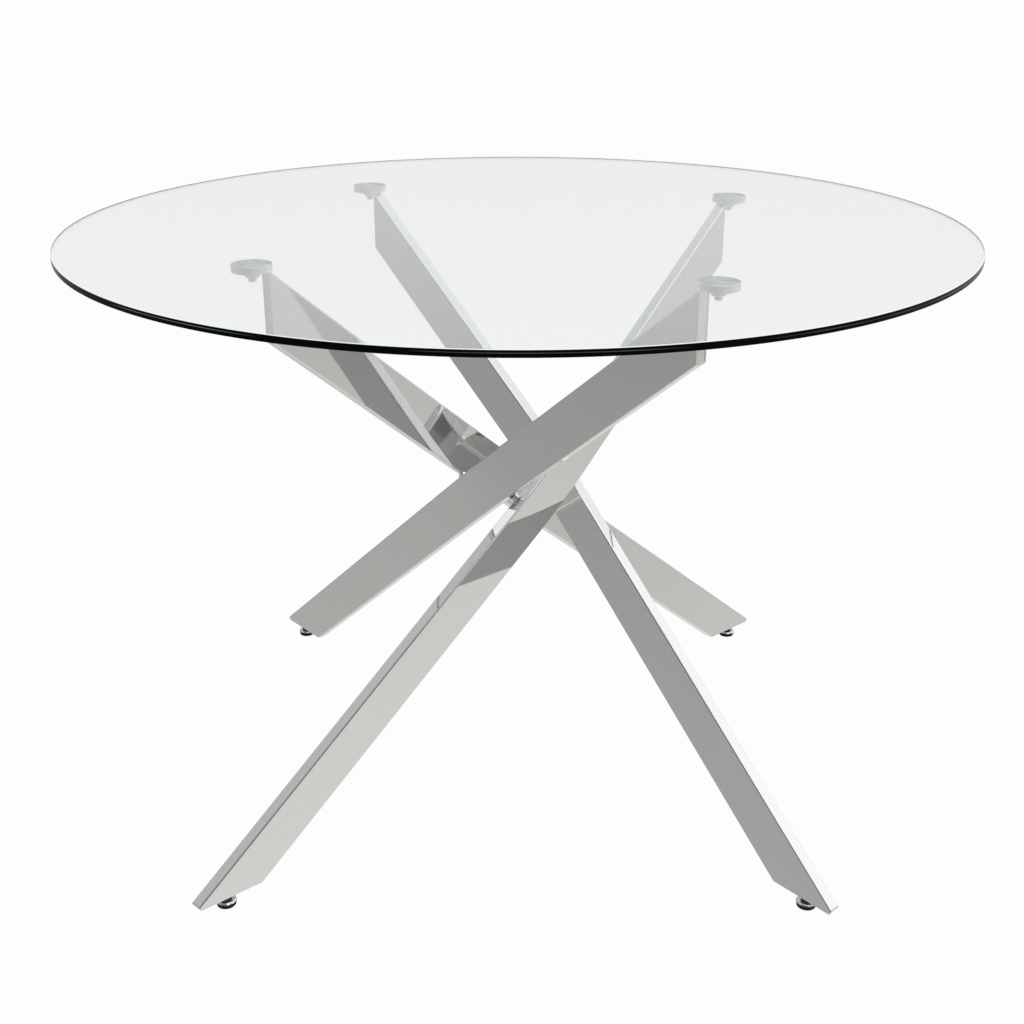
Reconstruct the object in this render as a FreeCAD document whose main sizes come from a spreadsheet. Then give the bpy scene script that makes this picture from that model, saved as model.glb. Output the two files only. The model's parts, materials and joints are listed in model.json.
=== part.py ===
import FreeCAD, Part
import math
import os

import Sketcher

# Round glass dining table on four crossing chromed legs.
# Frame: +Z up, origin on the floor under the middle of the top, millimetres.
# Each leg is one flat rectangular tube stood on edge.  It rises from a levelling foot,
# bends a few degrees in its middle and ends under the opposite side of the glass.
# The four legs are copies of one leg turned by quarter turns about the vertical axis.

Vector = FreeCAD.Vector
doc = FreeCAD.newDocument("glass_dining_table")
sheet = doc.addObject("Spreadsheet::Sheet", "dims")

DRIVING = [
    ("table_height", 750.0, "floor to top of glass"),
    ("top_diameter", 1100.0, "glass sheet"),
    ("top_thickness", 8.0, "glass sheet"),
    ("top_edge_round", 1.2, "polished arris of the glass"),
    ("tube_width", 60.0, "tall side of the leg tube"),
    ("tube_depth", 16.0, "narrow side of the leg tube"),
    ("tube_wall", 1.5, "leg tube wall"),
    ("tube_corner", 2.0, "outside corner radius of the leg tube"),
    ("bend_radius", 1200.0, "centre-line radius of the bend in each leg"),
    ("foot_circle_radius", 494.3, "middle of the table to each foot"),
    ("foot_gap", 12.0, "floor to the level cut of the leg"),
    ("waist_offset", 60.5, "bend of each leg to the vertical axis"),
    ("waist_height", 418.0, "floor to the bend"),
    ("disc_circle_radius", 358.4, "middle of the table to each disc"),
    ("disc_lag_angle", 9.1, "turn of each disc from its leg's foot line"),
    ("disc_diameter", 45.0, "bonding disc"),
    ("disc_thickness", 8.0, "bonding disc"),
    ("disc_chamfer", 0.5, "bonding disc"),
    ("tongue_width", 13.0, "bracket under the disc"),
    ("tongue_thickness", 3.0, "bracket under the disc"),
    ("leg_top_drop", 0.6, "upper corner of the tube below the disc's face"),
    ("washer_diameter", 16.0, "washer under the bracket"),
    ("washer_thickness", 3.5, "washer under the bracket"),
    ("screw_diameter", 5.0, "cap screw shank"),
    ("screw_bite", 5.5, "cap screw thread inside the disc"),
    ("screw_head_diameter", 8.5, "cap screw head"),
    ("screw_head_height", 5.0, "cap screw head"),
    ("socket_flats", 4.0, "cap screw socket across flats"),
    ("socket_depth", 2.5, "cap screw socket"),
    ("screw_clearance", 0.25, "radial, screw in bracket and washer"),
    ("thread_clearance", 0.05, "radial, any thread in its hole"),
    ("cap_thickness", 2.0, "plate closing the upper end of the tube"),
    ("plate_thickness", 5.0, "threaded plate closing the lower end of the tube"),
    ("stem_diameter", 8.0, "levelling foot thread"),
    ("stem_reach", 20.0, "thread above the plate's underside"),
    ("hub_diameter", 14.0, "shoulder of the levelling foot"),
    ("spigot_diameter", 6.0, "lower end of the stem in the pad"),
    ("spigot_length", 3.0, "lower end of the stem in the pad"),
    ("collar_diameter", 25.0, "bright plate on the pad"),
    ("collar_thickness", 2.5, "bright plate on the pad"),
    ("pad_diameter", 24.5, "pad at its top"),
    ("pad_foot_diameter", 22.0, "pad on the floor"),
    ("pad_height", 6.0, "pad"),
    ("joint_diameter", 12.0, "stub joining two crossing tubes"),
    ("joint_bite", 1.0, "stub past each tube's nearest corner, shaped to the corner"),
]


class Size:
    """A number together with the sheet expression that gives it."""

    def __init__(self, value, text):
        self.value = float(value)
        self.text = text

    def __add__(self, other):
        o = as_size(other)
        return Size(self.value + o.value, "(%s + %s)" % (self.text, o.text))

    def __sub__(self, other):
        o = as_size(other)
        return Size(self.value - o.value, "(%s - %s)" % (self.text, o.text))

    def __mul__(self, other):
        o = as_size(other)
        return Size(self.value * o.value, "(%s * %s)" % (self.text, o.text))

    def __truediv__(self, other):
        o = as_size(other)
        return Size(self.value / o.value, "(%s / %s)" % (self.text, o.text))

    def __neg__(self):
        return Size(-self.value, "(0 - %s)" % self.text)


def as_size(x):
    return x if isinstance(x, Size) else Size(x, repr(float(x)))


row = 0
S = {}


def put(name, value, note):
    """Write one value into the sheet and keep it as a Size."""
    global row
    row += 1
    sheet.set("A%d" % row, name)
    sheet.set("B%d" % row, repr(round(float(value), 9)))
    sheet.set("C%d" % row, note)
    sheet.setAlias("B%d" % row, name)
    S[name] = Size(round(float(value), 9), "dims." + name)


for name, value, note in DRIVING:
    put(name, value, note)
doc.recompute()


def v(name):
    return S[name].value


# ---- line of one leg, worked out from the driving sizes --------------------------------
# The leg's own frame: its foot lies at -X, its disc near +X.
foot_point = Vector(-v("foot_circle_radius"), 0, v("foot_gap"))
waist = Vector(0, -v("waist_offset"), v("waist_height"))
lag = math.radians(v("disc_lag_angle"))
disc_xy = Vector(v("disc_circle_radius") * math.cos(lag), -v("disc_circle_radius") * math.sin(lag), 0)
lower = (waist - foot_point).normalize()
slope = math.asin(lower.z)
heading = math.atan2(disc_xy.y - waist.y, disc_xy.x - waist.x)
# The flat sides stand upright above the bend, which fixes how steep the upper half is.
upper_slope = math.atan(math.tan(slope) / math.cos(heading - math.atan2(lower.y, lower.x)))
upper = Vector(
    math.cos(upper_slope) * math.cos(heading), math.cos(upper_slope) * math.sin(heading), math.sin(upper_slope))
middle = (lower + upper).normalize()
lift = lower.cross(upper).normalize()
side = lift.cross(middle)
level = Vector(middle.x, middle.y, 0).normalize()
half_bend = lower.getAngle(upper) / 2

disc_face_z = v("table_height") - v("top_thickness") - v("disc_thickness")
along = disc_face_z - v("leg_top_drop") - v("waist_height") - lift.z * v("tube_width") / 2
top_run = (upper * (along / math.sin(upper_slope)) + lift * (v("tube_width") / 2)).dot(level)

put("bend_half_angle", math.degrees(half_bend), "worked out: half the bend, degrees")
put("tilt", math.degrees(math.asin(middle.z)), "worked out: slope of the bend's tangent, degrees")
put("blank", (waist - foot_point).Length + 2 * v("tube_width"), "worked out: half tube before its end cuts")
put("top_run", top_run, "worked out: waist to the upright end face")
put("foot_drop", v("waist_height") - v("foot_gap"), "worked out: waist to the level end face")
doc.recompute()


# ---- helpers ---------------------------------------------------------------------------
def plane_of(body, role):
    return [f for f in body.Origin.OriginFeatures if f.Role == role][0]


def new_body(label):
    body = doc.addObject("PartDesign::Body", label)
    body.Label = label
    return body


def new_sketch(body, name, role):
    sketch = body.newObject("Sketcher::SketchObject", body.Name + "_" + name)
    sketch.AttachmentSupport = [(plane_of(body, role), "")]
    sketch.MapMode = "FlatFace"
    return sketch


def bind(sketch, constraint, size):
    """Add a driving constraint and bind it to the sheet."""
    index = sketch.addConstraint(constraint)
    sketch.setExpression("Constraints[%d]" % index, size.text)


def place_point(sketch, geo, pos, x, z):
    """Hold one point at (x, z) from the sketch's origin."""
    if x.value == 0 and z.value == 0:
        sketch.addConstraint(Sketcher.Constraint("Coincident", geo, pos, -1, 1))
        return
    if x.value == 0:
        sketch.addConstraint(Sketcher.Constraint("PointOnObject", geo, pos, -2))
    else:
        bind(sketch, Sketcher.Constraint("DistanceX", -1, 1, geo, pos, x.value), x)
    if z.value == 0:
        sketch.addConstraint(Sketcher.Constraint("PointOnObject", geo, pos, -1))
    else:
        bind(sketch, Sketcher.Constraint("DistanceY", -1, 1, geo, pos, z.value), z)


def polygon(sketch, points):
    """Closed outline through the given (Size, Size) points."""
    points = [(as_size(a), as_size(b)) for a, b in points]
    count = len(points)
    for i in range(count):
        a = points[i]
        b = points[(i + 1) % count]
        start = Vector(a[0].value, a[1].value, 0)
        end = Vector(b[0].value, b[1].value, 0)
        sketch.addGeometry(Part.LineSegment(start, end), False)
    for i in range(count):
        sketch.addConstraint(Sketcher.Constraint("Coincident", i, 2, (i + 1) % count, 1))
    for i in range(count):
        place_point(sketch, i, 1, points[i][0], points[i][1])


def circle(sketch, radius):
    sketch.addGeometry(Part.Circle(Vector(0, 0, 0), Vector(0, 0, 1), radius.value), False)
    sketch.addConstraint(Sketcher.Constraint("Coincident", 0, 3, -1, 1))
    bind(sketch, Sketcher.Constraint("Radius", 0, radius.value), radius)


def pad(body, sketch, length, both=False):
    feature = body.newObject("PartDesign::Pad", sketch.Name + "_pad")
    feature.Profile = sketch
    feature.SideType = "Symmetric" if both else "One side"
    feature.setExpression("Length", length.text)
    sketch.Visibility = False
    return feature


def pocket(body, sketch, length=None, both=False, reversed_=False):
    feature = body.newObject("PartDesign::Pocket", sketch.Name + "_cut")
    feature.Profile = sketch
    feature.SideType = "Symmetric" if both else "One side"
    feature.Reversed = reversed_
    if length is None:
        feature.Type = "ThroughAll"
    else:
        feature.setExpression("Length", length.text)
    return feature


def revolved(label, points):
    """Solid of revolution about its own Z axis from an outline in the XZ plane."""
    body = new_body(label)
    sketch = new_sketch(body, "outline", "XZ_Plane")
    polygon(sketch, points)
    turn = body.newObject("PartDesign::Revolution", body.Name + "_turn")
    turn.Profile = sketch
    turn.ReferenceAxis = (sketch, ["V_Axis"])
    turn.Angle = 360
    return body


def chevron(sketch, inset):
    """Plan of the bent tube: line, arc, line on both sides, inset from the outside."""
    half = S["tube_depth"] / 2 - inset
    cosine = Size(math.cos(half_bend), "cos(dims.bend_half_angle * 1deg)")
    sine = Size(math.sin(half_bend), "sin(dims.bend_half_angle * 1deg)")
    centre_y = S["bend_radius"] / cosine
    outer_r = S["bend_radius"] + half
    inner_r = S["bend_radius"] - half
    far_x = S["blank"] * cosine
    far_y = S["blank"] * sine

    # Corner points in order, starting at the foot end on the outside of the bend.
    corners = [
        (-(far_x + half * sine), far_y - half * cosine),
        (-(outer_r * sine), centre_y - outer_r * cosine),
        (outer_r * sine, centre_y - outer_r * cosine),
        (far_x + half * sine, far_y - half * cosine),
        (far_x - half * sine, far_y + half * cosine),
        (inner_r * sine, centre_y - inner_r * cosine),
        (-(inner_r * sine), centre_y - inner_r * cosine),
        (-(far_x - half * sine), far_y + half * cosine),
    ]
    dots = [Vector(x.value, y.value, 0) for x, y in corners]
    centre = Vector(0, centre_y.value, 0)
    down = -math.pi / 2
    sweep = (down - half_bend, down + half_bend)
    for i in range(8):
        if i in (1, 5):
            radius = outer_r if i == 1 else inner_r
            ring = Part.Circle(centre, Vector(0, 0, 1), radius.value)
            sketch.addGeometry(Part.ArcOfCircle(ring, sweep[0], sweep[1]), False)
        else:
            sketch.addGeometry(Part.LineSegment(dots[i], dots[(i + 1) % 8]), False)
    con = Sketcher.Constraint
    # The inner arc runs the other way round the outline, so its ends change places.
    first = {5: 2}
    last = {5: 1}
    for i in range(8):
        j = (i + 1) % 8
        sketch.addConstraint(con("Coincident", i, last.get(i, 2), j, first.get(j, 1)))
    sketch.addConstraint(con("Coincident", 1, 3, 5, 3))
    sketch.addConstraint(con("PointOnObject", 1, 3, -2))
    bind(sketch, con("Radius", 1, outer_r.value), outer_r)
    bind(sketch, con("Radius", 5, inner_r.value), inner_r)
    bind(sketch, con("DistanceY", -1, 1, 1, 3, centre_y.value), centre_y)
    for i in (1, 2, 5, 6):
        x = corners[i][0]
        bind(sketch, con("DistanceX", -1, 1, i, first.get(i, 1), x.value), x)
    for i in (0, 3, 4, 7):
        place_point(sketch, i, 1, corners[i][0], corners[i][1])


REACH = v("blank") * 4  # size of the block that takes an end off, well past the tube


def end_block(sketch, run, drop, keep):
    """Rectangle with one side on an end plane, in the upright plane of the leg.

    run: the end plane is upright, that far from the waist; the block lies beyond it.
    drop: the end plane is level, that far below the waist; the block lies under it.
    keep: False puts the block on the other side of the plane instead.
    """
    tilt = math.asin(middle.z)
    s, c = math.sin(tilt), math.cos(tilt)
    out = Vector(c, -s, 0)
    down = Vector(-s, -c, 0)
    if drop is None:
        base = out * run + down * (-run * math.tan(tilt))
        first = down
        second = out if keep else out * -1
        span = REACH
    else:
        base = down * drop + out * (-drop / math.tan(slope))
        first = out
        second = down if keep else down * -1
        span = REACH
    corner = base - first * (span / 2)
    points = [corner, corner + first * span, corner + first * span + second * span, corner + second * span]
    for i in range(4):
        sketch.addGeometry(Part.LineSegment(points[i], points[(i + 1) % 4]), False)
    con = Sketcher.Constraint
    for i in range(4):
        sketch.addConstraint(con("Coincident", i, 2, (i + 1) % 4, 1))
    for i in range(4):
        place_point(sketch, i, 1, as_size(points[i].x), as_size(points[i].y))


def leg_matrix(k, origin, ex, ey, ez):
    """Placement of a piece drawn in the leg's own frame, for the leg turned k quarters."""
    m = FreeCAD.Matrix(ex.x, ey.x, ez.x, origin.x, ex.y, ey.y, ez.y, origin.y, ex.z, ey.z, ez.z, origin.z)
    turn = FreeCAD.Placement(Vector(0, 0, 0), FreeCAD.Rotation(Vector(0, 0, 1), LEG_TURN[k]))
    return turn.multiply(FreeCAD.Placement(m))


def tube_piece(label, k, solid_from, low, high):
    """A stretch of the leg: 'skin' is the hollow tube, 'core' a plate that fills its bore.

    low and high are the end planes as (run, drop) pairs.
    """
    body = new_body(label)
    sketch = new_sketch(body, "plan", "XY_Plane")
    wall = S["tube_wall"]
    if solid_from == "skin":
        chevron(sketch, as_size(0.0))
        blank = pad(body, sketch, S["tube_width"], both=True)
        doc.recompute()
        # The long corners of the tube are rounded over their whole length.
        half = v("tube_width") / 2
        names = []
        for i, edge in enumerate(blank.Shape.Edges):
            box = edge.BoundBox
            flat = abs(abs(box.ZMin) - half) < 1e-6 and abs(box.ZMax - box.ZMin) < 1e-6
            if flat and box.XLength > v("tube_depth"):
                names.append("Edge%d" % (i + 1))
        rounding = body.newObject("PartDesign::Fillet", body.Name + "_corners")
        rounding.Base = (blank, names)
        rounding.setExpression("Radius", S["tube_corner"].text)
        bore = new_sketch(body, "bore", "XY_Plane")
        chevron(bore, wall)
        pocket(body, bore, S["tube_width"] - wall * 2, both=True)
    else:
        chevron(sketch, wall)
        pad(body, sketch, S["tube_width"] - wall * 2, both=True)
    for name, (run, drop, keep) in (("low", low), ("high", high)):
        cut = new_sketch(body, name, "XZ_Plane")
        end_block(cut, run, drop, keep)
        pocket(body, cut, None, both=True)
    body.Placement = leg_matrix(k, waist, middle, side, lift)
    return body


# ---- the four legs and all that is fixed to them ----------------------------------------
LEGS = ["a", "b", "c", "d"]
LEG_TURN = {0: -45.0, 1: 45.0, 2: 135.0, 3: 225.0}
pieces = []
joint_parts = []

down_to_floor = v("foot_drop")
plate_top = down_to_floor - v("plate_thickness")
cap_in = v("top_run") - v("cap_thickness")
zero = as_size(0.0)
screw_r = S["screw_diameter"] / 2
stem_r = S["stem_diameter"] / 2

legs = []
for k, tag in enumerate(LEGS):
    turn = FreeCAD.Rotation(Vector(0, 0, 1), LEG_TURN[k])
    level_turn = leg_matrix(k, Vector(0, 0, 0), level, Vector(0, 0, 1).cross(level), Vector(0, 0, 1)).Rotation

    leg = tube_piece("leg_" + tag, k, "skin", (None, down_to_floor, True), (v("top_run"), None, True))
    legs.append(leg)
    pieces.append(leg)
    pieces.append(tube_piece("leg_cap_" + tag, k, "core", (cap_in, None, False), (v("top_run"), None, True)))
    slab = tube_piece("plate_blank_" + tag, k, "core", (None, down_to_floor, True), (None, plate_top, False))

    # Threaded hole for the levelling foot, upright through the sloping tube's plate.
    drill = doc.addObject("Part::Cylinder", "plate_drill_" + tag)
    drill.setExpression("Radius", (stem_r + S["thread_clearance"]).text)
    drill.setExpression("Height", (S["plate_thickness"] * 3).text)
    foot_xy = turn.multVec(Vector(-v("foot_circle_radius"), 0, 0))
    drill.Placement = FreeCAD.Placement(foot_xy + Vector(0, 0, v("foot_gap") - v("plate_thickness")), turn)
    plate = doc.addObject("Part::Cut", "foot_plate_" + tag)
    plate.Label = "foot_plate_" + tag
    plate.Base = slab
    plate.Tool = drill
    pieces.append(plate)

    # Levelling foot: pad, bright plate and threaded stem.
    pad_r = S["pad_diameter"] / 2
    low_r = S["pad_foot_diameter"] / 2
    spigot_r = S["spigot_diameter"] / 2
    recess_r = spigot_r + S["thread_clearance"]
    recess_z = S["pad_height"] - S["spigot_length"]
    pad_body = revolved("foot_pad_" + tag, [
        (zero, zero), (low_r, zero), (pad_r, S["pad_height"] / 3), (pad_r, S["pad_height"]),
        (recess_r, S["pad_height"]), (recess_r, recess_z), (zero, recess_z)])
    pad_body.Placement = FreeCAD.Placement(foot_xy, turn)
    pieces.append(pad_body)

    collar_r = S["collar_diameter"] / 2
    bore_r = stem_r + S["thread_clearance"]
    bevel = S["collar_thickness"] / 3
    collar = revolved("foot_collar_" + tag, [
        (bore_r, zero), (collar_r, zero), (collar_r, S["collar_thickness"] - bevel),
        (collar_r - bevel, S["collar_thickness"]), (bore_r, S["collar_thickness"])])
    collar.Placement = FreeCAD.Placement(foot_xy + Vector(0, 0, v("pad_height")), turn)
    pieces.append(collar)

    hub_r = S["hub_diameter"] / 2
    collar_z = S["pad_height"] + S["collar_thickness"]
    top_z = S["foot_gap"] + S["stem_reach"]
    tip = S["stem_diameter"] / 8
    stem = revolved("foot_stem_" + tag, [
        (zero, recess_z), (spigot_r, recess_z), (spigot_r, S["pad_height"]), (stem_r, S["pad_height"]),
        (stem_r, collar_z), (hub_r, collar_z), (hub_r, S["foot_gap"]), (stem_r, S["foot_gap"]),
        (stem_r, top_z - tip), (stem_r - tip, top_z), (zero, top_z)])
    stem.Placement = FreeCAD.Placement(foot_xy, turn)
    pieces.append(stem)

    # Upper end: bracket welded to the end face, disc above it, washer and screw below.
    centre = turn.multVec(disc_xy)
    face_run = (disc_xy - Vector(waist.x, waist.y, 0)).dot(level) - v("top_run")
    put("bracket_reach_" + tag, face_run, "worked out: end face to the screw's axis")
    reach = S["bracket_reach_" + tag]
    bracket = new_body("bracket_" + tag)
    outline = new_sketch(bracket, "plan", "XY_Plane")
    half_w = v("tongue_width") / 2
    add = outline.addGeometry
    add(Part.LineSegment(Vector(-reach.value, half_w, 0), Vector(-reach.value, -half_w, 0)), False)
    add(Part.LineSegment(Vector(-reach.value, -half_w, 0), Vector(0, -half_w, 0)), False)
    round_end = Part.ArcOfCircle(Part.Circle(Vector(0, 0, 0), Vector(0, 0, 1), half_w), -math.pi / 2, math.pi / 2)
    add(round_end, False)
    add(Part.LineSegment(Vector(0, half_w, 0), Vector(-reach.value, half_w, 0)), False)
    con = Sketcher.Constraint
    outline.addConstraint(con("Coincident", 0, 2, 1, 1))
    outline.addConstraint(con("Tangent", 1, 2, 2, 1))
    outline.addConstraint(con("Tangent", 2, 2, 3, 1))
    outline.addConstraint(con("Coincident", 3, 2, 0, 1))
    outline.addConstraint(con("Coincident", 2, 3, -1, 1))
    outline.addConstraint(con("Vertical", 0))
    outline.addConstraint(con("Horizontal", 1))
    outline.addConstraint(con("Horizontal", 3))
    bind(outline, con("Radius", 2, half_w), S["tongue_width"] / 2)
    bind(outline, con("DistanceX", -1, 1, 0, 1, -reach.value), -reach)
    pad(bracket, outline, S["tongue_thickness"])
    eye = new_sketch(bracket, "eye", "XY_Plane")
    circle(eye, screw_r + S["screw_clearance"])
    pocket(bracket, eye, S["tongue_thickness"] * 2, reversed_=True)
    under = disc_face_z - v("tongue_thickness")
    bracket.Placement = FreeCAD.Placement(centre + Vector(0, 0, under), level_turn)
    pieces.append(bracket)

    disc_r = S["disc_diameter"] / 2
    hole_r = screw_r + S["thread_clearance"]
    hole_z = S["screw_bite"] + S["thread_clearance"]
    cham = S["disc_chamfer"]
    disc = revolved("disc_" + tag, [
        (hole_r, zero), (disc_r - cham, zero), (disc_r, cham), (disc_r, S["disc_thickness"] - cham),
        (disc_r - cham, S["disc_thickness"]), (zero, S["disc_thickness"]), (zero, hole_z), (hole_r, hole_z)])
    disc.Placement = FreeCAD.Placement(centre + Vector(0, 0, disc_face_z), turn)
    pieces.append(disc)

    washer_r = S["washer_diameter"] / 2
    edge = S["washer_thickness"] / 5
    clear_r = screw_r + S["screw_clearance"]
    washer = revolved("washer_" + tag, [
        (clear_r, zero), (washer_r - edge, zero), (washer_r, edge), (washer_r, S["washer_thickness"]),
        (clear_r, S["washer_thickness"])])
    washer_z = under - v("washer_thickness")
    washer.Placement = FreeCAD.Placement(centre + Vector(0, 0, washer_z), turn)
    pieces.append(washer)

    head_r = S["screw_head_diameter"] / 2
    head_h = S["screw_head_height"]
    shank_z = head_h + S["washer_thickness"] + S["tongue_thickness"] + S["screw_bite"]
    soft = S["screw_head_diameter"] / 16
    screw = revolved("screw_" + tag, [
        (zero, zero), (head_r - soft, zero), (head_r, soft), (head_r, head_h), (screw_r, head_h),
        (screw_r, shank_z), (zero, shank_z)])
    socket = new_sketch(screw, "socket", "XY_Plane")
    flats = S["socket_flats"]
    long_x = flats / math.sqrt(3.0)
    short_x = long_x / 2
    polygon(socket, [
        (long_x, zero), (short_x, flats / 2), (-short_x, flats / 2),
        (-long_x, zero), (-short_x, -(flats / 2)), (short_x, -(flats / 2))])
    pocket(screw, socket, S["socket_depth"], reversed_=True)
    screw.Placement = FreeCAD.Placement(centre + Vector(0, 0, washer_z - v("screw_head_height")), turn)
    pieces.append(screw)

doc.recompute()

# ---- stubs that join each leg to the next where they cross --------------------------------
for k, tag in enumerate(LEGS):
    over = legs[k]
    under_leg = legs[(k + 1) % 4]
    gap, pairs, info = over.Shape.distToShape(under_leg.Shape)
    high_point, low_point = pairs[0]
    axis = (high_point - low_point)
    length = axis.Length
    axis = axis.normalize()
    stub = doc.addObject("Part::Cylinder", "stub_" + tag)
    stub.setExpression("Radius", (S["joint_diameter"] / 2).text)
    put("stub_length_" + tag, length, "worked out: nearest corners of two crossing legs")
    stub.setExpression("Height", (S["stub_length_" + tag] + S["joint_bite"] * 2).text)
    start = low_point - axis * v("joint_bite")
    stub.Placement = FreeCAD.Placement(start, FreeCAD.Rotation(Vector(0, 0, 1), axis))
    trim = doc.addObject("Part::Cut", "stub_trim_" + tag)
    trim.Base = stub
    trim.Tool = over
    joint = doc.addObject("Part::Cut", "joint_" + tag + LEGS[(k + 1) % 4])
    joint.Label = "joint_" + tag + LEGS[(k + 1) % 4]
    joint.Base = trim
    joint.Tool = under_leg
    pieces.append(joint)
    print("gap between crossing legs %s: %.2f mm" % (joint.Label, length))

# ---- glass top -----------------------------------------------------------------------------
top = new_body("glass_top")
rim = new_sketch(top, "rim", "XY_Plane")
circle(rim, S["top_diameter"] / 2)
blank = pad(top, rim, S["top_thickness"])
doc.recompute()
names = []
for i, edge in enumerate(blank.Shape.Edges):
    if edge.Curve.TypeId == "Part::GeomCircle":
        names.append("Edge%d" % (i + 1))
polish = top.newObject("PartDesign::Fillet", "glass_top_polish")
polish.Base = (blank, names)
polish.setExpression("Radius", S["top_edge_round"].text)
top.Placement = FreeCAD.Placement(Vector(0, 0, v("table_height") - v("top_thickness")), FreeCAD.Rotation())
pieces.append(top)

doc.recompute()

# ---- checks and output ---------------------------------------------------------------------
bad = []
for obj in doc.Objects:
    if "Invalid" in obj.State or "Error" in obj.State:
        bad.append(obj.Name + " " + str(obj.State))
for piece in pieces:
    shape = piece.Shape
    if shape.isNull() or not shape.isValid() or len(shape.Solids) != 1 or shape.Volume <= 0:
        bad.append("%s: null or invalid shape, %d solids" % (piece.Label, len(shape.Solids)))
for leg in legs:
    solid = v("tube_width") * v("tube_depth") * leg.Shape.BoundBox.ZLength / math.sin(slope)
    if leg.Shape.Volume > 0.4 * solid:
        bad.append(leg.Label + ": the bore is not cut")
if bad:
    raise RuntimeError("failed objects: " + "; ".join(bad))

os.makedirs("parts", exist_ok=True)
for piece in pieces:
    piece.Shape.exportStep("parts/%s.step" % piece.Label)
print("%d pieces written" % len(pieces))
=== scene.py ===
import bpy
import json
import math
from mathutils import Matrix, Vector


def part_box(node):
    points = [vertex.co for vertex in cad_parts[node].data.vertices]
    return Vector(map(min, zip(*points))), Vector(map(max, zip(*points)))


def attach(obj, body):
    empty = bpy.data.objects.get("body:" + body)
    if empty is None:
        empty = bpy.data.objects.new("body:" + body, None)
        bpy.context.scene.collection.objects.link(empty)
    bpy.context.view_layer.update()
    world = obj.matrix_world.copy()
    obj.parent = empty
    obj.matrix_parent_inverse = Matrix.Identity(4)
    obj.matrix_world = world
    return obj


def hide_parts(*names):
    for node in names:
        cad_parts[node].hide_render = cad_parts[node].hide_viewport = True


# Round glass dining table: four crossed chromed tubes, bonded aluminium discs,
# a clear glass sheet with a dark polished edge, and levelling feet.  Metres, +Z up.

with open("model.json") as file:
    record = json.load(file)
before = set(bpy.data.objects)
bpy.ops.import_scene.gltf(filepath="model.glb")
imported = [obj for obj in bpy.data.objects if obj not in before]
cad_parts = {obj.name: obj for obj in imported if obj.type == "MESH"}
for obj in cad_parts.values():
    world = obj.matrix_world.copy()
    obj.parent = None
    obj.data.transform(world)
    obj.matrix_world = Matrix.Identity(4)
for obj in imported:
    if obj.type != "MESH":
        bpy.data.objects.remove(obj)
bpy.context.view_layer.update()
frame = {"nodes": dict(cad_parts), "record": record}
record = frame["record"]
nodes = frame["nodes"]
LEGS = ("a", "b", "c", "d")


# ---- small modelling helpers ---------------------------------------------------------
def middle_of(node):
    low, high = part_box(node)
    return (Vector(low) + Vector(high)) / 2


def clear_selection():
    if bpy.context.object and bpy.context.object.mode != "OBJECT":
        bpy.ops.object.mode_set(mode="OBJECT")
    bpy.ops.object.select_all(action="DESELECT")


def start(name):
    """Names the primitive just added and opens it for editing."""
    piece = bpy.context.object
    piece.name = name
    piece.data.name = name
    bpy.ops.object.mode_set(mode="EDIT")
    return piece


def choose(piece, kind, test):
    """Selects the faces, edges or vertices for which test is true."""
    bpy.ops.object.mode_set(mode="OBJECT")
    mesh = piece.data
    for group in (mesh.vertices, mesh.edges, mesh.polygons):
        for item in group:
            item.select = False
    if kind == "FACE":
        for face in mesh.polygons:
            face.select = test(face.center, face.normal)
    elif kind == "EDGE":
        for edge in mesh.edges:
            a, b = (mesh.vertices[i].co for i in edge.vertices)
            edge.select = test(a, b)
    else:
        for vertex in mesh.vertices:
            vertex.select = test(vertex.co)
    bpy.ops.object.mode_set(mode="EDIT")
    bpy.ops.mesh.select_mode(type={"FACE": "FACE", "EDGE": "EDGE", "VERT": "VERT"}[kind])


def slide_extrude(offset):
    bpy.ops.mesh.extrude_region_move(TRANSFORM_OT_translate={"value": offset})


def settle(piece, place=None, smooth=32.0):
    """Closes editing, puts the piece's place into its mesh and shades it."""
    bpy.ops.object.mode_set(mode="OBJECT")
    if place is not None:
        piece.matrix_world = place @ piece.matrix_world
    bpy.context.view_layer.update()
    bpy.ops.object.transform_apply(location=True, rotation=True, scale=True)
    bpy.ops.object.mode_set(mode="EDIT")
    bpy.ops.mesh.select_all(action="SELECT")
    bpy.ops.mesh.remove_doubles(threshold=1e-6)
    bpy.ops.mesh.normals_make_consistent(inside=False)
    bpy.ops.object.mode_set(mode="OBJECT")
    bpy.ops.object.shade_smooth_by_angle(angle=math.radians(smooth))
    evener = piece.modifiers.new("even_normals", "WEIGHTED_NORMAL")
    evener.keep_sharp = True
    evener.weight = 90
    bpy.ops.object.modifier_apply(modifier=evener.name)
    return piece


def round_rim(piece, size, steps, test):
    choose(piece, "EDGE", test)
    bpy.ops.mesh.bevel(offset=size, segments=steps, profile=0.5, affect="EDGES")


def copy_of(piece, name, place):
    clear_selection()
    twin = piece.copy()
    twin.data = piece.data.copy()
    twin.name = name
    twin.data.name = name
    bpy.context.scene.collection.objects.link(twin)
    twin.select_set(True)
    bpy.context.view_layer.objects.active = twin
    twin.matrix_world = place
    bpy.context.view_layer.update()
    bpy.ops.object.transform_apply(location=True, rotation=True, scale=True)
    return twin


def dress(piece, *finishes):
    for finish in finishes:
        piece.data.materials.append(finish)


def dress_node(name, finish):
    node = nodes[name]
    if not node.material_slots:
        node.data.materials.append(finish)
    for holder in node.material_slots:
        holder.material = finish


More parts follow.
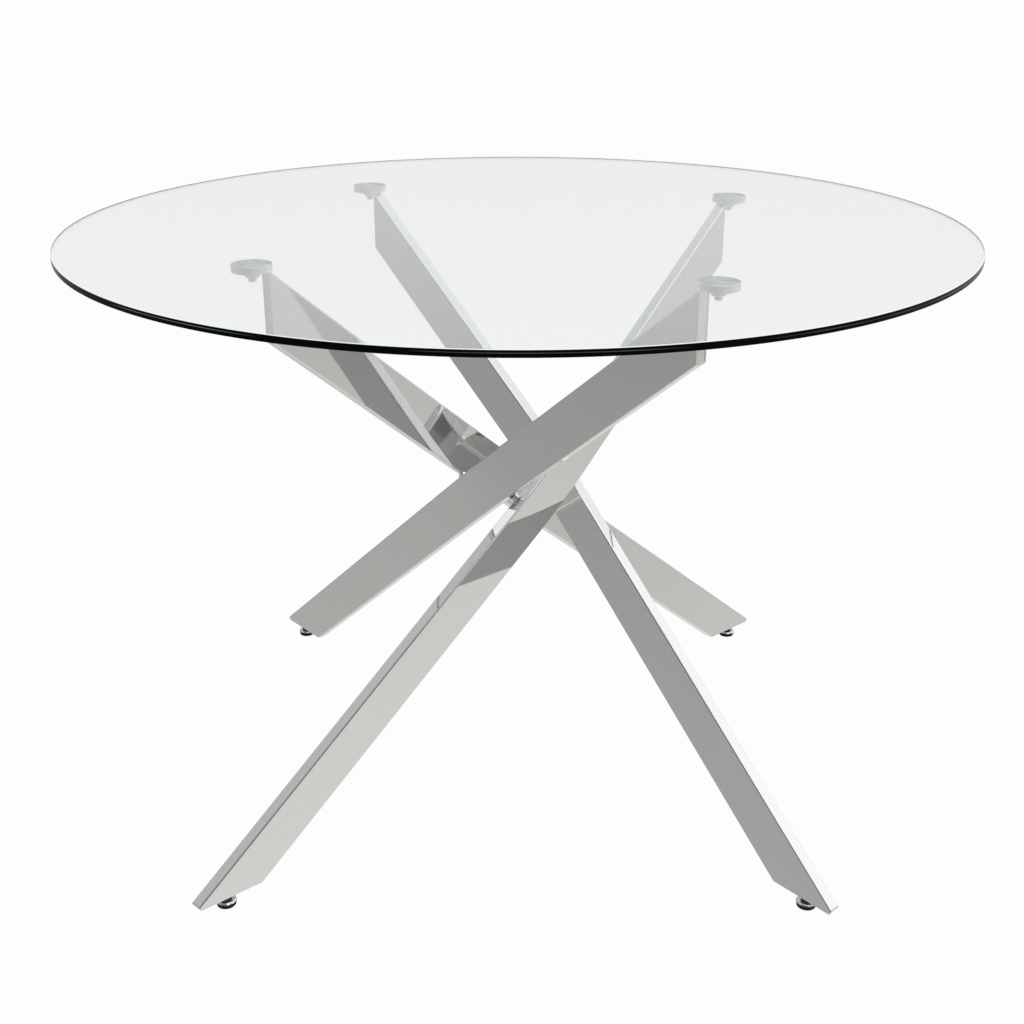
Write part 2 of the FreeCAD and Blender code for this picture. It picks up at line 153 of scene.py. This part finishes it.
# ---- shader arithmetic ---------------------------------------------------------------
class Field:
    """A shader socket that takes part in Python arithmetic."""

    def __init__(self, tree, socket):
        self.tree = tree
        self.socket = socket

    def with_(self, operation, other, swapped=False):
        node = self.tree.nodes.new("ShaderNodeMath")
        node.operation = operation
        pair = (other, self) if swapped else (self, other)
        for slot, item in zip(node.inputs, pair):
            if isinstance(item, Field):
                self.tree.links.new(item.socket, slot)
            else:
                slot.default_value = item
        return Field(self.tree, node.outputs[0])

    def __add__(self, other):
        return self.with_("ADD", other)

    def __radd__(self, other):
        return self.with_("ADD", other, True)

    def __sub__(self, other):
        return self.with_("SUBTRACT", other)

    def __rsub__(self, other):
        return self.with_("SUBTRACT", other, True)

    def __mul__(self, other):
        return self.with_("MULTIPLY", other)

    def __rmul__(self, other):
        return self.with_("MULTIPLY", other, True)

    def __truediv__(self, other):
        return self.with_("DIVIDE", other)

    def __gt__(self, other):
        return self.with_("GREATER_THAN", other)

    def __lt__(self, other):
        return self.with_("LESS_THAN", other)


class Finish:
    """One node tree, built by naming nodes, their settings and their sockets."""

    def __init__(self, name, world=False):
        if world:
            self.owner = bpy.data.worlds.new(name)
        else:
            self.owner = bpy.data.materials.new(name)
        self.owner.use_nodes = True
        self.tree = self.owner.node_tree
        self.tree.nodes.clear()

    def make(self, kind, settings=None, sockets=None, give=0):
        node = self.tree.nodes.new(kind)
        for key, value in (settings or {}).items():
            if key == "stops":
                ramp = node.color_ramp.elements
                while len(ramp) > 1:
                    ramp.remove(ramp[-1])
                ramp[0].position, ramp[0].color = value[0]
                for position, color in value[1:]:
                    ramp.new(position).color = color
            else:
                setattr(node, key, value)
        for key, value in (sockets or {}).items():
            slot = node.inputs[key]
            if isinstance(value, Field):
                self.tree.links.new(value.socket, slot)
            else:
                slot.default_value = value
        return Field(self.tree, node.outputs[give]) if len(node.outputs) else None

    def place(self, location=(0, 0, 0), scale=(1, 1, 1)):
        """Object coordinates, centred on location."""
        spot = self.make("ShaderNodeTexCoord", give=3)
        shift = tuple(-location[i] * scale[i] for i in range(3))
        return self.make("ShaderNodeMapping", None, {"Vector": spot, "Location": shift, "Scale": scale})

    def axes(self, vector):
        node = self.tree.nodes.new("ShaderNodeSeparateXYZ")
        self.tree.links.new(vector.socket, node.inputs[0])
        return [Field(self.tree, s) for s in node.outputs]

    def noise(self, vector, scale, detail=3.0, rough=0.5):
        return self.make("ShaderNodeTexNoise", None, {
            "Vector": vector, "Scale": scale, "Detail": detail, "Roughness": rough})

    def between(self, factor, low, high):
        """Straight blend of two numbers by a field."""
        return factor * (high - low) + low

    def blend(self, factor, first, second):
        """Blend of two colours by a field."""
        node = self.tree.nodes.new("ShaderNodeMix")
        node.data_type = "RGBA"
        for slot, item in ((node.inputs[0], factor), (node.inputs[6], first), (node.inputs[7], second)):
            if isinstance(item, Field):
                self.tree.links.new(item.socket, slot)
            else:
                slot.default_value = item
        return Field(self.tree, node.outputs[2])

    def bump(self, height, strength, distance, normal=None):
        sockets = {"Height": height, "Strength": strength, "Distance": distance}
        if normal is not None:
            sockets["Normal"] = normal
        return self.make("ShaderNodeBump", None, sockets)

    def surface(self, **sockets):
        """Closes the tree with the one shader that everything feeds."""
        named = {key.replace("_", " "): value for key, value in sockets.items()}
        shader = self.make("ShaderNodeBsdfPrincipled", None, named)
        self.make("ShaderNodeOutputMaterial", None, {"Surface": shader})
        return self.owner


def grey(value, warm=0.0):
    return (value * (1 + warm), value, value * (1 - warm), 1)


# ---- finishes ------------------------------------------------------------------------
def chrome_plate(name, tone=0.80, haze=0.03):
    """Mirror plate: faint wiping haze, a little orange peel and hairline marks."""
    f = Finish(name)
    spot = f.place()
    cloud = f.noise(spot, 9.0, 4.0, 0.55)
    wipe = f.noise(f.place(scale=(160, 160, 14)), 1.0, 2.0, 0.6)
    peel = f.noise(spot, 55.0, 1.0)
    color = f.blend(cloud, grey(tone, 0.004), grey(tone * 0.965, 0.008))
    rough = cloud * 0.012 + wipe * 0.010 + haze
    return f.surface(
        Base_Color=color, Metallic=0.90, Roughness=rough, Normal=f.bump(peel, 0.03, 0.0006))


def turned_metal(name, centre, tone, pitch, tilt, haze):
    """Lathe-turned metal: rings round the piece's own axis lean the surface in and out; light and dark wedges by
    angle on the flat faces are a painted sheen.
    """
    f = Finish(name)
    x, y, z = f.axes(f.place(location=(centre.x, centre.y, 0)))
    radius = (x * x + y * y).with_("POWER", 0.5)
    lean = (radius * (2 * math.pi / pitch)).with_("SINE", 0.0) * tilt
    nx, ny, nz = f.axes(f.make("ShaderNodeNewGeometry", give=1))
    flat = nz.with_("ABSOLUTE", 0.0) > 0.9
    safe = radius + 0.0002
    push = f.make("ShaderNodeCombineXYZ", None, {
        "X": nx + x / safe * lean * flat, "Y": ny + y / safe * lean * flat, "Z": nz})
    normal = f.make("ShaderNodeVectorMath", {"operation": "NORMALIZE"}, {0: push})
    ring = (radius * (2 * math.pi / (pitch * 7))).with_("SINE", 0.0) * 0.5 + 0.5
    cloud = f.noise(f.place(scale=(1, 1, 0.2)), 70.0, 3.0)
    turn = y.with_("ARCTAN2", x)
    # Painted sheen: light and dark wedges round the axis stand in for the spun metal's radial highlights.
    painted_sheen_wedges = ((turn * 2 + 1.1).with_("SINE", 0.0) * 0.7 + (turn * 5 + 0.4).with_("SINE", 0.0) * 0.3) * 0.5 + 0.5
    # Blend factor: the painted sheen on the flat faces, plus the turned rings and a random tone.
    painted_sheen_and_rings = (painted_sheen_wedges * painted_sheen_wedges * flat * 0.90 + ring * 0.06 + cloud * 0.06).with_("MINIMUM", 1.0)
    color = f.blend(painted_sheen_and_rings, (tone, tone * 1.01, tone * 1.02, 1), (tone * 0.64, tone * 0.66, tone * 0.68, 1))
    return f.surface(
        Base_Color=color, Metallic=1.0, Roughness=cloud * 0.08 + haze, Normal=normal)


def clear_glass(name):
    f = Finish(name)
    cloud = f.noise(f.place(), 3.0, 4.0)
    tint = f.blend(cloud, (0.930, 0.944, 0.940, 1), (0.940, 0.950, 0.947, 1))
    return f.surface(
        Base_Color=tint, Roughness=cloud * 0.004, IOR=1.50, Transmission_Weight=1.0)


def glass_edge(name, low, high):
    """Polished edge: light is lost along the sheet, so it is nearly black green; a painted highlight line runs
    along the side, and a painted white highlight runs along the upper arris.
    """
    f = Finish(name)
    spot = f.place()
    x, y, z = f.axes(spot)
    rise = (z - low) / (high - low)
    wander = f.noise(spot, 2.2, 1.0) * 0.36 + 0.36
    # Painted highlight: a thin light line that wanders along the dark side and shows only in patches.
    painted_highlight_line = 1 - ((rise - wander).with_("ABSOLUTE", 0.0) / 0.055).with_("MINIMUM", 1.0)
    highlight_patches = (f.noise(spot, 4.0, 2.0) * 7.0 - 3.2).with_("MAXIMUM", 0.0).with_("MINIMUM", 1.0)
    dark = f.blend(f.noise(spot, 12.0, 3.0), (0.0004, 0.0010, 0.0009, 1), (0.0012, 0.0034, 0.0026, 1))
    side = f.blend(painted_highlight_line * highlight_patches, dark, (0.20, 0.24, 0.23, 1))
    # Painted highlight: the top of the rounded arris is coloured near white in place of its reflection.
    painted_arris_highlight = ((rise - 0.90) / 0.05).with_("MAXIMUM", 0.0).with_("MINIMUM", 1.0)
    color = f.blend(painted_arris_highlight, side, (0.90, 0.92, 0.92, 1))
    return f.surface(
        Base_Color=color, Roughness=f.noise(spot, 20.0) * 0.05 + 0.08, Specular_IOR_Level=0.04)


def foot_rubber(name):
    f = Finish(name)
    spot = f.place()
    grain = f.noise(spot, 900.0, 3.0)
    dust = f.noise(spot, 60.0, 4.0)
    color = f.blend(dust, (0.0030, 0.0030, 0.0034, 1), (0.010, 0.010, 0.010, 1))
    return f.surface(
        Base_Color=color, Roughness=dust * 0.2 + 0.5, Specular_IOR_Level=0.15,
        Normal=f.bump(grain, 0.2, 0.0003))


def threaded_steel(name, centre):
    """Zinc-plated thread, a helix round the foot's axis; past the thread's radius, on the hub below it, the
    colour is near black.
    """
    f = Finish(name)
    x, y, z = f.axes(f.place(location=(centre.x, centre.y, 0)))
    radius = (x * x + y * y).with_("POWER", 0.5)
    turn = y.with_("ARCTAN2", x) / (2 * math.pi)
    wave = ((z / 0.00125 + turn) * (2 * math.pi)).with_("SINE", 0.0) * 0.5 + 0.5
    on_thread = radius < 0.0045
    cloud = f.noise(f.place(), 400.0, 3.0)
    zinc = f.blend(cloud, (0.50, 0.51, 0.53, 1), (0.38, 0.38, 0.39, 1))
    hub = f.blend(cloud, (0.006, 0.006, 0.007, 1), (0.018, 0.018, 0.018, 1))
    return f.surface(
        Base_Color=f.blend(on_thread, hub, zinc), Metallic=on_thread, Roughness=cloud * 0.15 + 0.25,
        Normal=f.bump(wave * on_thread, 0.8, 0.0005))


# ---- the legs ------------------------------------------------------------------------
TUBE_WIDTH = 0.060
TUBE_DEPTH = 0.016
TUBE_WALL = 0.0015
TUBE_CORNER = 0.0020
BEND_RADIUS = 1.200
WAIST = Vector((0, -0.0605, 0.418))
LEG_TURN = {"a": -45.0, "b": 45.0, "c": 135.0, "d": 225.0}


def quarter(tag):
    return Matrix.Rotation(math.radians(LEG_TURN[tag]), 4, "Z")


def leg_line():
    """Directions of one leg in its own upright plane, from its foot and its disc."""
    back = quarter("a").inverted()
    foot = back @ middle_of("foot_stem_a")
    foot.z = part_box("foot_plate_a")[0][2]
    disc = back @ middle_of("disc_a")
    lower = (WAIST - foot).normalized()
    heading = math.atan2(disc.y - WAIST.y, disc.x - WAIST.x)
    # The flat sides stand upright above the bend, which fixes how steep that half is.
    rise = lower.z / (lower.x * math.cos(heading) + lower.y * math.sin(heading))
    upper = Vector((math.cos(heading), math.sin(heading), rise)).normalized()
    return foot, lower, upper


def round_tip(on_cut, cut_normal, radius=0.0040, steps=6):
    """Grinds the sharp tip between the upper narrow side and the level cut to a radius."""
    top_normal = Vector((0, 0, 1))
    hub = Vector((0, 0, TUBE_WIDTH / 2 - radius))
    hub.x = on_cut.x + (-radius - (hub.z - on_cut.z) * cut_normal.z + on_cut.y * cut_normal.y) / cut_normal.x
    for step in range(1, steps):
        part = step / steps
        spread = top_normal.angle(cut_normal)
        facing = (top_normal * math.sin((1 - part) * spread) + cut_normal * math.sin(part * spread)).normalized()
        bpy.ops.mesh.select_all(action="SELECT")
        bpy.ops.mesh.bisect(
            plane_co=hub + facing * radius, plane_no=facing, use_fill=True, clear_outer=True)


def build_leg():
    foot, lower, upper = leg_line()
    along = (lower + upper).normalized()
    lift = lower.cross(upper).normalized()
    side = lift.cross(along)
    bend = lower.angle(upper)
    centre = Vector((0, BEND_RADIUS / math.cos(bend / 2), 0))
    into_leg = Matrix((along, side, lift)).transposed().to_4x4()
    into_leg.translation = WAIST
    flat = into_leg.inverted()
    straight = (WAIST - foot).length + 0.12 - BEND_RADIUS * math.tan(bend / 2)
    low_way = Vector((math.cos(bend / 2), -math.sin(bend / 2), 0))
    high_way = Vector((math.cos(bend / 2), math.sin(bend / 2), 0))
    start_at = centre - Vector((math.sin(bend / 2), math.cos(bend / 2), 0)) * BEND_RADIUS
    end_at = start_at - low_way * straight

    clear_selection()
    bpy.ops.mesh.primitive_plane_add(size=1.0)
    piece = start("leg_tube_a")
    bpy.ops.transform.resize(value=(TUBE_WIDTH, TUBE_DEPTH, 1))
    bpy.ops.object.mode_set(mode="OBJECT")
    stand = Matrix.Rotation(-math.pi / 2, 4, "Y")
    piece.matrix_world = Matrix.Translation(end_at) @ Matrix.Rotation(-bend / 2, 4, "Z") @ stand
    bpy.ops.object.transform_apply(location=True, rotation=True, scale=True)
    bpy.ops.object.mode_set(mode="EDIT")
    bpy.ops.mesh.select_all(action="SELECT")
    bpy.ops.mesh.bevel(offset=TUBE_CORNER, segments=5, profile=0.5, affect="VERTICES")
    bpy.ops.mesh.select_all(action="SELECT")
    slide_extrude(low_way * straight)
    bpy.ops.mesh.spin(steps=24, angle=-bend, center=centre, axis=(0, 0, 1))
    slide_extrude(high_way * straight)
    bpy.ops.mesh.select_all(action="SELECT")
    bpy.ops.mesh.remove_doubles(threshold=1e-6)
    bpy.ops.mesh.normals_make_consistent(inside=False)

    # End cuts: level over the foot, upright under the glass.
    level_normal = flat.to_3x3() @ Vector((0, 0, -1))
    bpy.ops.mesh.select_all(action="SELECT")
    bpy.ops.mesh.bisect(
        plane_co=flat @ foot, plane_no=level_normal, use_fill=True, clear_outer=True)
    round_tip(flat @ foot, level_normal)
    level = Vector((along.x, along.y, 0)).normalized()
    turn = quarter("a").inverted()
    end_run = max(c.dot(level) for c in (turn @ Vector(v.co) for v in nodes["leg_cap_a"].data.vertices))
    bpy.ops.mesh.select_all(action="SELECT")
    bpy.ops.mesh.bisect(
        plane_co=flat @ (level * end_run), plane_no=flat.to_3x3() @ level, use_fill=True, clear_outer=True)

    # Each end shows the wall, and inside it the plate set back by a hairline step.
    up_normal = flat.to_3x3() @ level
    for facing in (level_normal, up_normal):
        def at_end(c, n, facing=facing):
            return n.dot(facing) > 0.9999
        choose(piece, "FACE", at_end)
        bpy.ops.mesh.inset(thickness=0.0018)
        bpy.ops.mesh.inset(thickness=0.0003, depth=-0.0005)
    return piece, into_leg


# ---- the glass sheet -----------------------------------------------------------------
def build_glass():
    low, high = (Vector(c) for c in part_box("glass_top"))
    centre = (low + high) / 2
    clear_selection()
    bpy.ops.mesh.primitive_cylinder_add(
        vertices=256, radius=(high.x - low.x) / 2, depth=high.z - low.z, location=centre)
    piece = start("glass_sheet")
    round_rim(piece, 0.0011, 4, lambda a, b: abs(a.z - b.z) < 1e-6)
    bpy.ops.object.mode_set(mode="OBJECT")
    flat_level = (high.z - low.z) / 2 - 1e-5
    for face in piece.data.polygons:
        face.material_index = 0 if abs(face.center.z) > flat_level else 1
    bpy.ops.object.mode_set(mode="EDIT")
    return settle(piece)


# ---- the bonded discs ----------------------------------------------------------------
BOND = 0.0001  # the glue line: the disc enters the glass this far, with no air between


def build_disc():
    low, high = (Vector(c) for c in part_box("disc_a"))
    centre = (low + high) / 2
    clear_selection()
    bpy.ops.mesh.primitive_cylinder_add(
        vertices=128, radius=(high.x - low.x) / 2, depth=high.z - low.z + BOND,
        location=centre + Vector((0, 0, BOND / 2)))
    piece = start("bonding_disc_a")
    round_rim(piece, 0.0005, 2, lambda a, b: abs(a.z - b.z) < 1e-6)
    for inset in (0.0045, 0.0055):
        choose(piece, "FACE", lambda c, n: abs(n.z) > 0.99 and Vector((c.x, c.y)).length < 1e-4)
        bpy.ops.mesh.inset(thickness=inset, use_individual=False)
    return settle(piece)


def build_pad():
    low, high = (Vector(c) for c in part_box("foot_pad_a"))
    centre = (low + high) / 2
    clear_selection()
    bpy.ops.mesh.primitive_cylinder_add(
        vertices=96, radius=(high.x - low.x) / 2, depth=high.z - low.z, location=centre)
    piece = start("glide_pad_a")
    choose(piece, "FACE", lambda c, n: n.z < -0.9)
    bpy.ops.transform.resize(value=(0.94, 0.94, 1))
    round_rim(piece, 0.0006, 4, lambda a, b: abs(a.z - b.z) < 1e-6)
    return settle(piece)


def build_collar():
    """Thin pressed plate that closes over the rubber pad."""
    low, high = (Vector(c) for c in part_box("foot_collar_a"))
    rise = 0.0018
    clear_selection()
    bpy.ops.mesh.primitive_cylinder_add(
        vertices=96, radius=(high.x - low.x) / 2 - 0.0003, depth=rise,
        location=((low.x + high.x) / 2, (low.y + high.y) / 2, low.z + rise / 2))
    piece = start("glide_collar_a")
    choose(piece, "FACE", lambda c, n: n.z > 0.9)
    bpy.ops.transform.resize(value=(0.90, 0.90, 1))
    round_rim(piece, 0.0008, 4, lambda a, b: min(a.z, b.z) > 0.0005 and abs(a.z - b.z) < 1e-6)
    return settle(piece)


leg, into_leg = build_leg()
settle(leg, quarter("a") @ into_leg)
legs = {"a": leg}
glass = build_glass()
discs = {"a": build_disc()}
pads = {"a": build_pad()}
collars = {"a": build_collar()}
for tag in LEGS[1:]:
    swing = quarter(tag) @ quarter("a").inverted()
    legs[tag] = copy_of(leg, f"leg_tube_{tag}", swing)
    discs[tag] = copy_of(discs["a"], f"bonding_disc_{tag}", swing)
    pads[tag] = copy_of(pads["a"], f"glide_pad_{tag}", swing)
    collars[tag] = copy_of(collars["a"], f"glide_collar_{tag}", swing)

tube_chrome = chrome_plate("tube_chrome", 0.80, 0.02)
small_chrome = chrome_plate("fitting_chrome", 0.78, 0.06)
rubber = foot_rubber("foot_rubber")
glass_low, glass_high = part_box("glass_top")
dress(glass, clear_glass("clear_glass"), glass_edge("glass_edge", glass_low[2], glass_high[2]))
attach(glass, "frame")
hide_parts("glass_top")

for tag in LEGS:
    dress(legs[tag], tube_chrome)
    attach(legs[tag], "frame")
    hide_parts(f"leg_{tag}", f"leg_cap_{tag}", f"foot_plate_{tag}")
    dress(discs[tag], turned_metal(f"turned_disc_{tag}", middle_of(f"disc_{tag}"), 0.97, 0.0011, 0.05, 0.10))
    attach(discs[tag], "frame")
    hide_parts(f"disc_{tag}")
    dress(pads[tag], rubber)
    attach(pads[tag], f"foot_{tag}_pad")
    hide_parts(f"foot_pad_{tag}")
    dress(collars[tag], small_chrome)
    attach(collars[tag], f"foot_{tag}_stem")
    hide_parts(f"foot_collar_{tag}")
    dress_node(f"foot_stem_{tag}", threaded_steel(f"threaded_steel_{tag}", middle_of(f"foot_stem_{tag}")))
    for part in ("bracket", "washer", "screw"):
        dress_node(f"{part}_{tag}", small_chrome)
for pair in ("ab", "bc", "cd", "da"):
    dress_node(f"joint_{pair}", tube_chrome)


# ---- surroundings --------------------------------------------------------------------
def studio_floor():
    """Even pale floor; mirrored rays pass it and meet the room's own light below the horizon."""
    clear_selection()
    bpy.ops.mesh.primitive_plane_add(size=1.0, location=(0, 0, 0))
    floor = start("studio_floor")
    bpy.ops.transform.resize(value=(60, 60, 1))
    settle(floor)
    f = Finish("studio_floor")
    cloud = f.noise(f.place(), 0.7, 2.0)
    glow = f.make("ShaderNodeEmission", None, {"Color": (1, 1, 1, 1), "Strength": cloud * 0.004 + 0.978})
    f.make("ShaderNodeOutputMaterial", None, {"Surface": glow})
    dress(floor, f.owner)
    floor.visible_glossy = False


def clamped(value):
    return value.with_("MAXIMUM", 0.0).with_("MINIMUM", 1.0)


def studio_world():
    """White room; mirrored rays see a grey floor, a dim back and bright panels by direction."""
    f = Finish("studio_world", world=True)
    x, y, z = f.axes(f.make("ShaderNodeTexCoord", give=0))
    seen = f.tree.nodes.new("ShaderNodeLightPath")
    mirrored = Field(f.tree, seen.outputs["Glossy Depth"]) > 0.5
    toward_right = (x / 0.9).with_("TANH", 0.0) * 0.5 + 0.5
    front = clamped(0 - y)
    back = clamped(y)
    ground = f.between((x / 0.5).with_("TANH", 0.0) * 0.5 + 0.5, 0.39, 0.71)
    ground = ground * (0.55 - z) * (1 - front * 0.42) + back * 0.08
    behind = clamped((-0.15 - y) / 0.35)
    lamp = Vector((0.36, -0.62, 0.70)).normalized()
    panel = clamped((x * lamp.x + y * lamp.y + z * lamp.z - 0.955) / 0.015)
    room = f.between(toward_right, 0.40, 1.36) * f.between(behind, 1.0, 0.18) + panel * 1.4
    # The far wall, mirrored by everything level, is lit evenly from side to side.
    room = room + (0.84 - room) * clamped((y - 0.80) / 0.12)
    shaded = ground + (room - ground) * clamped(z / 0.24 + 0.5)
    level = 0.98 + (shaded - 0.98) * mirrored
    above = clamped(z * 4 + 0.5)
    tone = f.blend(above, (1.0, 0.985, 0.955, 1), (0.97, 0.985, 1.0, 1))
    hue = f.blend(mirrored, (1, 1, 1, 1), tone)
    glow = f.make("ShaderNodeBackground", None, {"Color": hue, "Strength": level})
    f.make("ShaderNodeOutputWorld", None, {"Surface": glow})
    bpy.context.scene.world = f.owner


def softbox(name, location, target, size, power):
    lamp = bpy.data.lights.new(name, "AREA")
    lamp.shape = "RECTANGLE"
    lamp.size, lamp.size_y = size
    lamp.energy = power
    holder = bpy.data.objects.new(name, lamp)
    bpy.context.scene.collection.objects.link(holder)
    holder.location = location
    holder.rotation_euler = (Vector(target) - Vector(location)).to_track_quat("-Z", "Y").to_euler()
    holder.visible_camera = False


studio_floor()
studio_world()
softbox("overhead", (0.6, -0.4, 2.6), (0, 0, 0.4), (1.4, 1.4), 6)

eye = bpy.data.cameras.new("viewpoint")
eye.lens = 49.01
eye.sensor_width = 36.0
eye.clip_start = 0.05
viewpoint = bpy.data.objects.new("viewpoint", eye)
bpy.context.scene.collection.objects.link(viewpoint)
viewpoint.location = (0.0, -1.71824, 1.08763)
viewpoint.rotation_euler = (math.pi / 2 - 0.39736, 0.0, 0.00369)
bpy.context.scene.camera = viewpoint
bpy.context.scene.view_settings.view_transform = "Standard"
